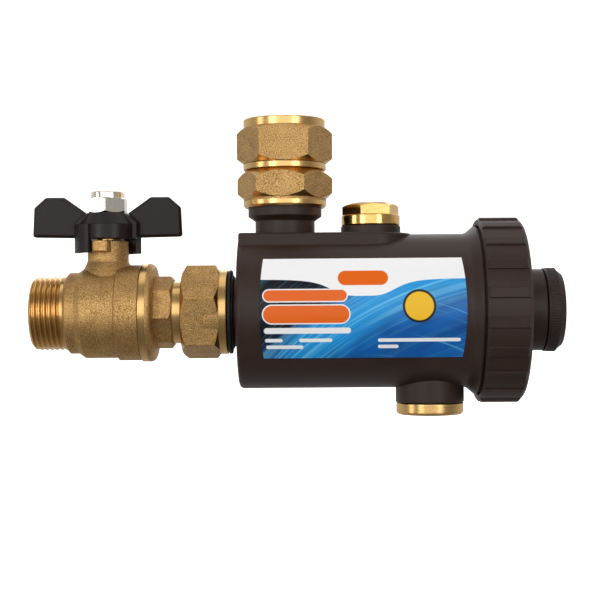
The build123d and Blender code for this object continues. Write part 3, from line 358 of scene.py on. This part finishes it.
def woven_screen(name):
    """Fine woven wire: crossing wires with open holes between them."""
    wires_per_turn = 120
    screen_r = 20
    wire_depth = 0.15
    pitch = 2 * math.pi * screen_r / wires_per_turn
    shader = Shader(name, Metallic=1.0)
    x, y, z = shader.parts(shader.place)
    angle = shader.math("ARCTAN2", y, z)

    def ridge(value):
        return shader.math("ABSOLUTE", shader.math("SINE", value))

    along = ridge(shader.times(angle, wires_per_turn / 2))
    across = ridge(shader.times(x, math.pi / pitch))
    wire = shader.either(along, across)
    solid = shader.step(wire, 0.62, 0.74)
    # Painted highlight and shade: each wire lighter on its crown and darker toward its flanks
    base = shader.mix(shader.fit(wire, 0.6, 1.0, 0.0, 1.0), rgb(120, 120, 122), rgb(196, 196, 198))
    rough = shader.fit(wire, 0.6, 1.0, 0.5, 0.25)
    return shader.finish(base, rough, shader.bump(wire, wire_depth, 0.8), alpha=solid)


# ---- Printed label -------------------------------------------------------------------------

PRINT_WHITE = rgb(250, 250, 250)
PRINT_ORANGE = rgb(238, 104, 6)
STREAK_TILT = math.radians(29)
PRINT_BLEND = 0.12
BAR_OUTLINE = 0.4

# Light strands in the blue field: scale across the streaks, seed, noise at which a strand starts and
# is full, strength
STRANDS = ((0.30, 7.0, 0.50, 0.74, 0.55), (0.75, 19.0, 0.56, 0.70, 0.5), (1.5, 31.0, 0.60, 0.70, 0.6))

# Middle as a share of the label's width, then in mm: height over the main axis, half length and
# half thickness
ORANGE_BARS = ((0.22, 5.4, 14.2, 1.9), (0.225, -1.0, 14.7, 3.0))

# Both ends as shares of the label's width, then in mm: height over the main axis and half thickness
WHITE_BARS = (
    (0.02, 0.44, -6.6, 1.0),
    (0.025, 0.11, -9.9, 0.6),
    (0.19, 0.35, -9.9, 0.6),
    (0.03, 0.21, -12.2, 0.6),
    (0.57, 0.97, -10.0, 0.6),
    (0.57, 0.67, -12.2, 0.6),
)

# Plain disc: middle as a share of the label's width, height over the main axis in mm, and its
# radius in mm and colour from the outside in
DISC_X = 0.77
DISC_Z = 1.6
DISC_RINGS = ((5.7, rgb(16, 16, 16)), (4.9, rgb(250, 196, 34)))


def blue_field(shader, x, z):
    """Navy upper left, a bright glow rising to the right, long light strands along it."""
    left, right = LABEL_X
    bottom, top = LABEL_Z
    across = shader.fit(x, left, right, 0.0, 1.0)
    off_x = shader.minus(x, (left + right) / 2)
    off_z = shader.minus(z, (bottom + top) / 2)
    along = shader.plus(
        shader.times(off_x, math.cos(STREAK_TILT)), shader.times(off_z, math.sin(STREAK_TILT))
    )
    beside = shader.minus(
        shader.times(off_z, math.cos(STREAK_TILT)), shader.times(off_x, math.sin(STREAK_TILT))
    )
    bent = shader.plus(beside, shader.times(shader.times(along, along), 0.0042))
    mist = shader.streaks(along, 0.035, bent, 0.09, seed=4.0)
    ridge = shader.plus(bent, shader.times(shader.minus(mist, 0.5), 12.0))
    from_ridge = shader.math("ABSOLUTE", shader.plus(ridge, 1.0))
    glow = shader.minus(1.0, shader.step(from_ridge, 1.0, 12.5))
    above_ridge = shader.step(ridge, 4.5, 11.0)
    navy = shader.times(above_ridge, shader.minus(1.0, shader.step(across, 0.50, 0.74)))

    field = shader.mix(shader.fit(mist, 0.3, 0.7, 0.0, 1.0), rgb(8, 66, 138), rgb(16, 112, 196))
    field = shader.mix(shader.times(glow, 0.85), field, rgb(34, 164, 236))
    field = shader.mix(shader.times(shader.step(across, 0.30, 0.0), 0.35), field, rgb(6, 34, 84))
    field = shader.mix(navy, field, rgb(4, 9, 26))
    for spread, seed, low, high, strength in STRANDS:
        strand = shader.streaks(along, 0.016, bent, spread, seed=seed, detail=1.0)
        lit = shader.times(
            shader.step(strand, low, high), shader.fit(glow, 0.0, 1.0, 0.12 * strength, strength)
        )
        field = shader.mix(lit, field, rgb(128, 214, 250))
    sweep = shader.plus(off_z, shader.times(shader.times(off_x, off_x), 0.006))
    arcs = shader.streaks(off_x, 0.02, sweep, 0.9, seed=43.0, detail=1.0)
    arc_light = shader.times(shader.step(arcs, 0.60, 0.72), shader.fit(across, 0.45, 0.95, 0.0, 0.6))
    return shader.mix(arc_light, field, rgb(112, 206, 248))


def label_print(name):
    """Generic print: white head band with an orange lozenge, blue streaked field, plain bars
    where a maker would set type, and a plain yellow disc."""
    shader = Shader(name, Specular_IOR_Level=0.3)
    x, _, z = shader.parts(shader.place)
    left, right = LABEL_X
    bottom, top = LABEL_Z
    width, height = right - left, top - bottom

    def bar(center_x, center_z, half_x, half_z):
        """1 inside a bar with rounded ends."""
        from_center = shader.math("ABSOLUTE", shader.minus(x, center_x))
        past_run = shader.either(shader.minus(from_center, half_x - half_z), 0.0)
        gap = shader.vector("LENGTH", shader.join(past_run, shader.minus(z, center_z), 0.0))
        return shader.minus(1.0, shader.step(gap, half_z - PRINT_BLEND, half_z + PRINT_BLEND))

    # head band with a soft rounded drop in the middle
    drop_x = left + 0.5 * width
    away = shader.math("DIVIDE", shader.minus(x, drop_x), 0.17 * width)
    steepness = shader.math("POWER", shader.math("ABSOLUTE", away), 4.0)
    bell = shader.math("DIVIDE", 1.0, shader.plus(1.0, steepness))
    edge_z = shader.minus(bottom + 0.79 * height, shader.times(bell, 0.17 * height))
    head = shader.step(shader.minus(z, edge_z), -0.08, 0.08)
    color = shader.mix(head, blue_field(shader, x, z), rgb(252, 252, 252))

    lozenge = bar(drop_x, bottom + 0.80 * height, 8.6, 2.5)
    color = shader.mix(lozenge, color, PRINT_ORANGE)
    for share, center_z, half_x, half_z in ORANGE_BARS:
        center_x = left + share * width
        outline = bar(center_x, center_z, half_x + BAR_OUTLINE, half_z + BAR_OUTLINE)
        color = shader.mix(outline, color, PRINT_WHITE)
        color = shader.mix(bar(center_x, center_z, half_x, half_z), color, PRINT_ORANGE)
    for start, end, center_z, half_z in WHITE_BARS:
        half_x = (end - start) * width / 2
        strip = bar(left + (start + end) / 2 * width, center_z, half_x, half_z)
        color = shader.mix(strip, color, PRINT_WHITE)
    for radius, paint in DISC_RINGS:
        disc = bar(left + DISC_X * width, DISC_Z, radius, radius)
        color = shader.mix(disc, color, paint)

    film = shader.noise(shader.place, 1.1, detail=3.0)
    rough = shader.fit(film, 0.3, 0.7, 0.30, 0.38)
    return shader.finish(color, rough, shader.bump(film, 0.01, 0.2))


# ---- Dressing the CAD nodes ----------------------------------------------------------------

NUT_BORE_R = 13.6
wear(
    brass("forged_brass_body", turned_spans=((-7, 6.4),), bore_r=12.2, faces_turned=False),
    "valve_body",
)
wear(
    brass("forged_brass_end", turned_spans=((33.1, 35.5), (44.6, 57)), bore_r=9.0, faces_turned=False),
    "valve_end_piece",
)
wear(brass("forged_brass_union_nut", turned_spans=((61.4, 65),), bore_r=NUT_BORE_R), "union_nut")
wear(
    brass("forged_brass_lower_nut", OUTLET_X, turned_spans=((37, 39.6),), bore_r=NUT_BORE_R),
    "outlet_lower_nut",
)
wear(
    brass("forged_brass_upper_nut", OUTLET_X, turned_spans=((66.0, 69.2),), bore_r=NUT_BORE_R),
    "outlet_upper_nut",
)
for finish_name, node, centre_x, turned_span in (
    ("turned_brass_nipple", "outlet_nipple", OUTLET_X, (40, 60)),
    ("turned_brass_drain", "drain_plug", DRAIN_X, (-40, -20)),
    ("turned_brass_stem", "valve_stem", STEM_X, (0, 50)),
):
    wear(brass(finish_name, centre_x, turned_spans=(turned_span,), bore_r=ALL_OVER), node)

# Name, colour, dull colour, roughness, upright axis if it has one, and the nodes
for finish_name, color, dull_color, roughness, centre_x, names in (
    ("polished_brass_vent", (226, 182, 112), (200, 150, 84), 0.12, VENT_X, ("vent_plug",)),
    ("bright_nickel", (250, 243, 230), (232, 222, 206), 0.08, STEM_X, ("handle_nut",)),
    ("ball_plating", (226, 226, 226), (200, 200, 202), 0.07, None, ("valve_ball",)),
    ("retainer_steel", (170, 170, 172), (140, 140, 142), 0.28, None, ("union_retainer", "outlet_retainers")),
    ("sheath_steel", (196, 196, 198), (168, 168, 170), 0.22, None, ("magnet_sheath", "magnet_tie_rod")),
    ("magnet_plating", (206, 206, 208), (180, 180, 184), 0.16, None, ("magnets",)),
    ("pole_steel", (140, 140, 144), (112, 112, 116), 0.32, None, ("pole_plates",)),
):
    wear(bright_metal(finish_name, rgb(*color), rgb(*dull_color), roughness, centre_x), *names)

NYLON = rgb(46, 31, 24)
NYLON_LIGHT = rgb(60, 43, 35)
NYLON_GLOSS = {"Specular_IOR_Level": 0.3}
wear(moulded("canister_nylon", NYLON, NYLON_LIGHT, 0.42, **NYLON_GLOSS), "canister")
wear(moulded("ring_nut_nylon", NYLON, NYLON_LIGHT, 0.44, **NYLON_GLOSS), "ring_nut", "end_cover")
wear(moulded("knob_nylon", rgb(44, 32, 27), NYLON_LIGHT, 0.46, **NYLON_GLOSS), "magnet_knob")
wear(moulded("cage_plastic", rgb(52, 52, 54), rgb(70, 70, 72), 0.45), "filter_cage")
handle_paint = moulded(
    "handle_paint", rgb(30, 22, 20), rgb(42, 33, 30), 0.30, texture=0.5, Specular_IOR_Level=0.22
)
wear(handle_paint, "valve_handle")
seat_ptfe = moulded("seat_ptfe", rgb(224, 224, 220), rgb(240, 240, 236), 0.38, texture=0.3)
wear(seat_ptfe, "ball_seats", "stem_washer")
insert_nylon = moulded("insert_nylon", rgb(206, 204, 190), rgb(226, 224, 212), 0.45, texture=0.4)
wear(insert_nylon, "handle_nut_insert")
wear(
    rubber("seal_rubber"),
    "inlet_backing_ring",
    "union_gasket",
    "outlet_lower_gasket",
    "outlet_upper_gasket",
    "stem_o_rings",
    "vent_o_ring",
    "drain_o_ring",
    "cover_o_ring",
    "knob_o_ring",
)
wear(woven_screen("woven_screen"), "filter_screen")
wear(label_print("label_print"), "label")


# ---- Stage, light and camera ---------------------------------------------------------------

# Name, place from the middle of the object, width and height, power in watts
SOFTBOXES = (
    ("top_softbox", (0.0, 0.05, 0.9), (1.1, 0.7), 1.8),
    ("front_panel", (0.0, -1.35, 0.30), (1.5, 1.0), 6.2),
    ("left_panel", (-0.62, -0.95, 0.12), (0.30, 0.5), 2.2),
    ("right_panel", (0.62, -0.95, 0.12), (0.30, 0.5), 1.9),
    ("side_panel", (-1.1, -0.42, 0.05), (0.32, 0.5), 1.5),
    ("back_panel", (0.1, 1.1, 0.5), (0.9, 0.6), 2.0),
)


def stage_material():
    """Pale sweep, lit enough from within to stay white behind the object."""
    shader = Shader("stage_white", Emission_Color=(1.0, 1.0, 1.0, 1.0), Emission_Strength=0.85)
    grain = shader.noise(shader.place, 0.02)
    return shader.finish(shader.mix(grain, rgb(246, 246, 246), rgb(250, 250, 250)), 0.9)


def studio_floor(level, reach):
    """Pale floor at level that curves up into a backdrop behind the object."""
    curve_steps = 24
    curve_start = 0.5 * reach
    curve_r = 0.8 * reach
    half_width = 1.6 * reach
    wall_top = 2.4 * reach
    profile = [(-reach, 0.0), (curve_start, 0.0)]
    for i in range(1, curve_steps + 1):
        turn = math.pi / 2 * i / curve_steps
        profile.append((curve_start + curve_r * math.sin(turn), curve_r * (1 - math.cos(turn))))
    profile.append((profile[-1][0], wall_top))

    verts = [(side, y, level + z) for y, z in profile for side in (-half_width, half_width)]
    faces = [(2 * i, 2 * i + 1, 2 * i + 3, 2 * i + 2) for i in range(len(profile) - 1)]
    mesh = bpy.data.meshes.new("studio_floor")
    mesh.from_pydata(verts, [], faces)
    mesh.polygons.foreach_set("use_smooth", [True] * len(faces))
    mesh.materials.append(stage_material())
    floor = bpy.data.objects.new("studio_floor", mesh)
    bpy.context.scene.collection.objects.link(floor)
    floor.visible_diffuse = False
    floor.visible_glossy = False


def softbox(name, place, size, power, aim):
    """Rectangular area light at place, facing aim."""
    lamp = bpy.data.lights.new(name, "AREA")
    lamp.shape = "RECTANGLE"
    lamp.size, lamp.size_y = size
    lamp.energy = power
    box = bpy.data.objects.new(name, lamp)
    bpy.context.scene.collection.objects.link(box)
    box.location = place
    box.rotation_mode = "QUATERNION"
    box.rotation_quaternion = (Vector(aim) - Vector(place)).to_track_quat("-Z", "Y")


def studio_sky():
    """White to the camera; to everything else grey, darker from the front and from below."""
    world = bpy.data.worlds.new("studio_world")
    bpy.context.scene.world = world
    world.use_nodes = True
    sky = world.node_tree
    backdrop = sky.nodes["Background"]
    backdrop.inputs["Color"].default_value = (1.0, 1.0, 1.0, 1.0)

    def ramp(source, low, high, to_low, to_high):
        made = sky.nodes.new("ShaderNodeMapRange")
        sky.links.new(source, made.inputs["Value"])
        for socket, number in zip(made.inputs[1:5], (low, high, to_low, to_high)):
            socket.default_value = number
        return made.outputs["Result"]

    direction = sky.nodes.new("ShaderNodeTexCoord").outputs["Generated"]
    parts = sky.nodes.new("ShaderNodeSeparateXYZ")
    sky.links.new(direction, parts.inputs[0])
    level = ramp(parts.outputs[1], -0.2, 0.5, 0.32, 0.72)
    seen = sky.nodes.new("ShaderNodeLightPath").outputs["Is Camera Ray"]
    shade = ramp(parts.outputs[2], -0.8, 0.1, 0.55, 1.0)
    glow = sky.nodes.new("ShaderNodeMath")
    glow.operation = "MULTIPLY"
    sky.links.new(level, glow.inputs[0])
    sky.links.new(shade, glow.inputs[1])
    choice = sky.nodes.new("ShaderNodeMix")
    sky.links.new(seen, choice.inputs[0])
    sky.links.new(glow.outputs[0], choice.inputs[2])
    choice.inputs[3].default_value = 1.0
    sky.links.new(choice.outputs[0], backdrop.inputs["Strength"])


low, high = cad_bounds
center = (low + high) / 2
length = (high - low).x
studio_floor(low.z - 0.9 * length, 6 * length)
for name, offset, size, power in SOFTBOXES:
    softbox(name, center + Vector(offset), size, power, center)
studio_sky()

# The camera stands level with the main axis. Its image centre is a little above and left of it.
CAMERA_DISTANCE = 0.470
CAMERA_LENS = 78.0
CAMERA_SENSOR = 36.0
CAMERA_X = 0.0944
CAMERA_Z = 0.0001
VIEW_CENTER_X = 0.08975
VIEW_CENTER_Z = 0.0041
CAMERA_ROLL = math.radians(-0.45)

camera_data = bpy.data.cameras.new("camera")
camera_data.lens = CAMERA_LENS
camera_data.sensor_width = CAMERA_SENSOR
view_width = CAMERA_DISTANCE * CAMERA_SENSOR / CAMERA_LENS
camera_data.shift_x = (VIEW_CENTER_X - CAMERA_X) / view_width
camera_data.shift_y = (VIEW_CENTER_Z - CAMERA_Z) / view_width
camera_data.clip_start = 0.01
camera_data.clip_end = 20.0
camera = bpy.data.objects.new("camera", camera_data)
bpy.context.scene.collection.objects.link(camera)
camera.matrix_world = (
    Matrix.Translation((CAMERA_X, -CAMERA_DISTANCE, CAMERA_Z))
    @ Matrix.Rotation(math.pi / 2, 4, "X")
    @ Matrix.Rotation(CAMERA_ROLL, 4, "Z")
)
bpy.context.scene.camera = camera
bpy.context.scene.view_settings.view_transform = "Standard"
